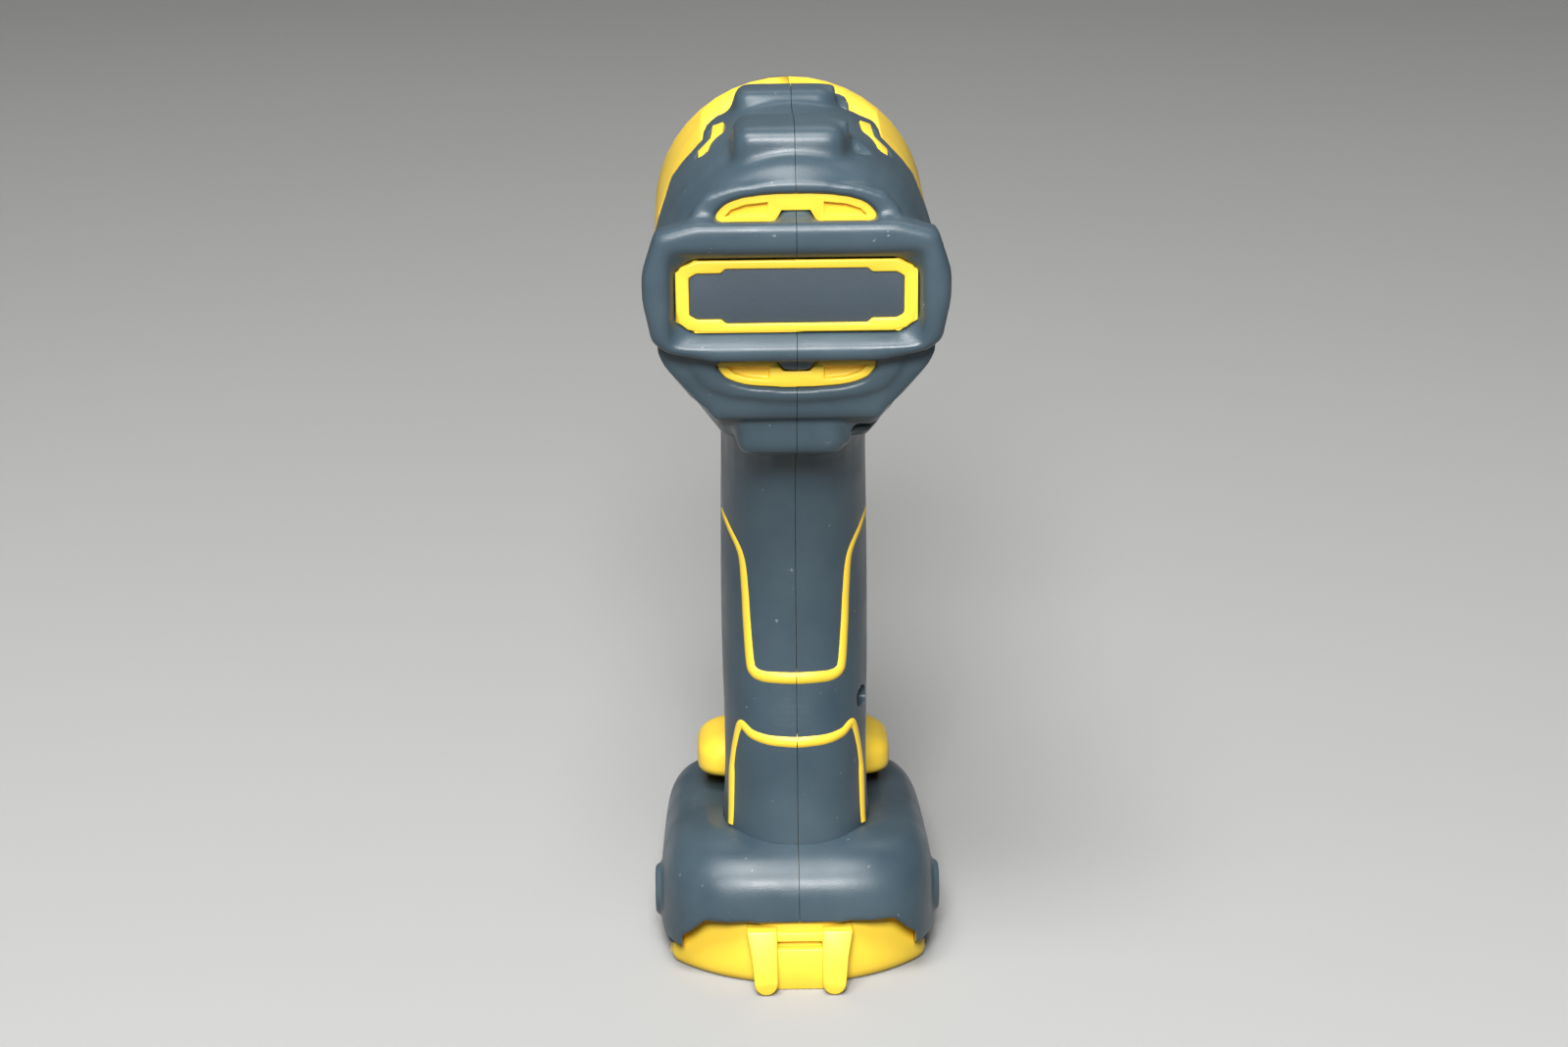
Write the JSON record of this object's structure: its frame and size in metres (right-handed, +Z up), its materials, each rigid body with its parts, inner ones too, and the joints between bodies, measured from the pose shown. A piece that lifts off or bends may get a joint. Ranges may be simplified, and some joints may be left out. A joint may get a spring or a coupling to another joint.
{
  "type": "impact driver",
  "caption": "Cordless pistol-grip impact driver with a rubber-booted clamshell, rear bumper, hex bit chuck, trigger, direction bar and a slide-off battery terminal cover.",
  "frame": {"origin": "middle of the bounding box in plan, on the flat bottom of the terminal cover", "axes": "+Z up, +Y along the drive axis from the bumper to the chuck, +X to the right seen from behind"},
  "size_m": [0.0678, 0.1302, 0.2045],
  "materials": {
    "yellow_plastic": "fine moulded grain",
    "soft_rubber": "satin over-moulded rubber",
    "badge_plastic": "fine grain",
    "steel": "ground",
    "cast_aluminium": "cast and turned",
    "bronze": "sintered",
    "copper_wire": "enamelled",
    "black_plastic": "moulded",
    "circuit_board": "solder mask",
    "clear_lens": "clear",
    "brass_contact": "plain",
    "lead_jacket": "silicone"
  },
  "bodies": {
    "shell": {"left_housing": "yellow_plastic", "right_housing": "yellow_plastic", "left_head_boot": "soft_rubber", "right_head_boot": "soft_rubber", "left_grip": "soft_rubber", "right_grip": "soft_rubber", "left_heel_pad": "soft_rubber", "right_heel_pad": "soft_rubber", "left_foot_boot": "soft_rubber", "right_foot_boot": "soft_rubber", "badge_plate": "badge_plastic", "housing_screws": "steel", "nose_boot": "soft_rubber", "hammer_case": "cast_aluminium", "anvil_bush": "bronze", "ring_gear": "steel", "carrier_bearing": "steel", "motor_plate": "cast_aluminium", "front_bearing": "steel", "rear_bearing": "steel", "stator_core": "steel", "stator_coils": "copper_wire", "sensor_board": "circuit_board", "switch_body": "black_plastic", "trigger_spring": "steel", "lamp_lens": "clear_lens", "lamp_board": "circuit_board", "control_module": "black_plastic", "terminal_block": "black_plastic", "terminal_blades": "brass_contact", "hook_inserts": "brass_contact", "motor_leads": "lead_jacket"},
    "anvil": {"anvil": "steel", "lock_balls": "steel", "collar_washer": "steel", "snap_ring": "steel", "collar_spring": "steel"},
    "collar": {"chuck_collar": "steel"},
    "cam": {"cam_shaft": "steel", "planet_pins": "steel", "cam_balls": "steel", "spring_washer": "steel", "hammer_spring": "steel"},
    "hammer": {"hammer": "steel"},
    "planet_1": {"planet_gear_1": "steel"},
    "planet_2": {"planet_gear_2": "steel"},
    "planet_3": {"planet_gear_3": "steel"},
    "rotor": {"rotor_shaft": "steel", "rotor_core": "steel", "fan": "black_plastic"},
    "trigger": {"trigger": "black_plastic"},
    "direction_bar": {"direction_bar": "black_plastic"},
    "terminal_cover": {"terminal_cover": "yellow_plastic"}
  },
  "joints": [
    {"name": "cam_spin", "type": "hinge", "parent": "shell", "child": "cam", "pos_m": [0, 0, 0.1694], "axis": [0, 1, 0], "continuous": true},
    {"name": "anvil_spin", "type": "hinge", "parent": "shell", "child": "anvil", "pos_m": [0, 0, 0.1694], "axis": [0, 1, 0], "continuous": true},
    {"name": "rotor_spin", "type": "hinge", "parent": "shell", "child": "rotor", "pos_m": [0, 0, 0.1694], "axis": [0, 1, 0], "continuous": true},
    {"name": "planet_1_spin", "type": "hinge", "parent": "cam", "child": "planet_1", "pos_m": [0.0105, 0, 0.1694], "axis": [0, 1, 0], "continuous": true},
    {"name": "planet_2_spin", "type": "hinge", "parent": "cam", "child": "planet_2", "pos_m": [-0.00525, 0, 0.16031], "axis": [0, 1, 0], "continuous": true},
    {"name": "planet_3_spin", "type": "hinge", "parent": "cam", "child": "planet_3", "pos_m": [-0.00525, 0, 0.17849], "axis": [0, 1, 0], "continuous": true},
    {"name": "hammer_slide", "type": "slide", "parent": "cam", "child": "hammer", "axis": [0, -1, 0], "range_m": [0, 0.007], "stiffness_N_per_m": 4000, "deforming": ["hammer_spring"]},
    {"name": "collar_slide", "type": "slide", "parent": "anvil", "child": "collar", "axis": [0, 1, 0], "range_m": [0, 0.004], "stiffness_N_per_m": 900, "deforming": ["collar_spring"]},
    {"name": "trigger_slide", "type": "slide", "parent": "shell", "child": "trigger", "axis": [0, -1, 0], "range_m": [0, 0.0065], "stiffness_N_per_m": 700, "deforming": ["trigger_spring"]},
    {"name": "direction_slide", "type": "slide", "parent": "shell", "child": "direction_bar", "axis": [1, 0, 0], "range_m": [-0.0028, 0.0028]},
    {"name": "cover_slide", "type": "slide", "parent": "shell", "child": "terminal_cover", "axis": [0, -1, 0], "range_m": [0, 0.082]}
  ],
  "couplings": [
    {"joint": "anvil_spin", "follows": "cam_spin", "ratio": 1},
    {"joint": "rotor_spin", "follows": "cam_spin", "ratio": 5},
    {"joint": "planet_1_spin", "follows": "cam_spin", "ratio": -2.6667},
    {"joint": "planet_2_spin", "follows": "cam_spin", "ratio": -2.6667},
    {"joint": "planet_3_spin", "follows": "cam_spin", "ratio": -2.6667}
  ]
}
